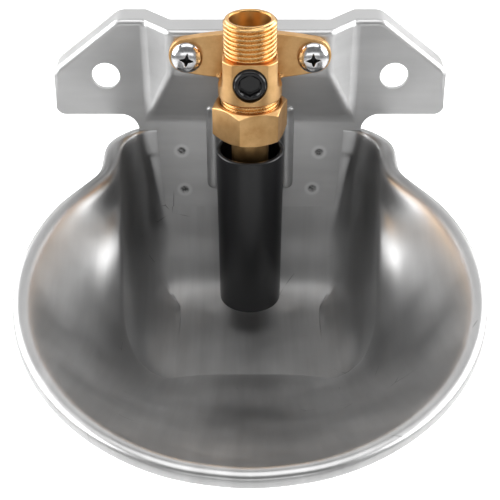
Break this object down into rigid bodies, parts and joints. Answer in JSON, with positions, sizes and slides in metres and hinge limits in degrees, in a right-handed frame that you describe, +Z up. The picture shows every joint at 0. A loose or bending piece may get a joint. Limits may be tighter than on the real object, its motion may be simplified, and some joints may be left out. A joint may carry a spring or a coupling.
{
  "type": "livestock drinking bowl",
  "caption": "Wall-mounted stainless drinking bowl for livestock, with a brass tube valve that opens when the animal pushes the hanging tube.",
  "frame": {"origin": "on the wall plane, midway between the two mounting holes", "axes": "+X to the right as the animal sees it, +Y into the wall, +Z up"},
  "size_m": [0.1644, 0.2165, 0.1448],
  "materials": {
    "bowl_steel": "satin pressed stainless sheet with fine streaks and light scratches",
    "plate_steel": "smooth pressed stainless sheet",
    "cast_brass": "cast brass with machined flats",
    "turned_brass": "turned brass",
    "zinc": "bright zinc plate",
    "sleeve_plastic": "black moulded plastic, half gloss",
    "screw_plastic": "black plastic",
    "seal_rubber": "black seal rubber",
    "spring_steel": "bright spring wire"
  },
  "bodies": {
    "bowl_and_valve": {"bowl": "bowl_steel", "back_plate": "plate_steel", "valve_body": "cast_brass", "union_nut": "cast_brass", "seat_insert": "turned_brass", "seat_gasket": "seal_rubber", "return_spring": "spring_steel", "flange_screw_left": "zinc", "flange_screw_right": "zinc", "flange_washer_left": "zinc", "flange_washer_right": "zinc", "flange_nut_left": "zinc", "flange_nut_right": "zinc"},
    "rocking_edge": {"slip_washer": "zinc"},
    "drink_tube": {"flange_tube": "turned_brass", "tube_sleeve": "sleeve_plastic"},
    "stem": {"valve_stem": "turned_brass", "valve_disc": "seal_rubber", "disc_washer": "zinc", "foot_plate": "turned_brass"},
    "regulator_seal": {"regulator_oring": "seal_rubber"},
    "regulator": {"regulator_screw": "screw_plastic"}
  },
  "joints": [
    {"name": "tube_swivel", "type": "hinge", "parent": "bowl_and_valve", "child": "rocking_edge", "pos_m": [0, -0.03645, -0.0105], "axis": [0, 0, 1], "continuous": true},
    {"name": "tube_tilt", "type": "hinge", "parent": "rocking_edge", "child": "drink_tube", "pos_m": [0, -0.04695, -0.0093], "axis": [1, 0, 0], "range_deg": [0, 5], "stiffness_Nm_per_rad": 0.25, "springref_deg": -2.29},
    {"name": "stem_lift", "type": "slide", "parent": "bowl_and_valve", "child": "stem", "axis": [0, 0, 1], "range_m": [0, 0.00155], "deforming": ["return_spring"]},
    {"name": "regulator_travel", "type": "slide", "parent": "bowl_and_valve", "child": "regulator_seal", "axis": [0, 1, 0], "range_m": [0, 0.0024]},
    {"name": "regulator_turn", "type": "hinge", "parent": "regulator_seal", "child": "regulator", "pos_m": [0, -0.03645, 0.0122], "axis": [0, 1, 0], "range_deg": [0, 1080]}
  ],
  "couplings": [
    {"joint": "tube_tilt", "follows": "stem_lift", "rad_per_m": 56.3},
    {"joint": "regulator_turn", "follows": "regulator_travel", "rad_per_m": 7853}
  ]
}
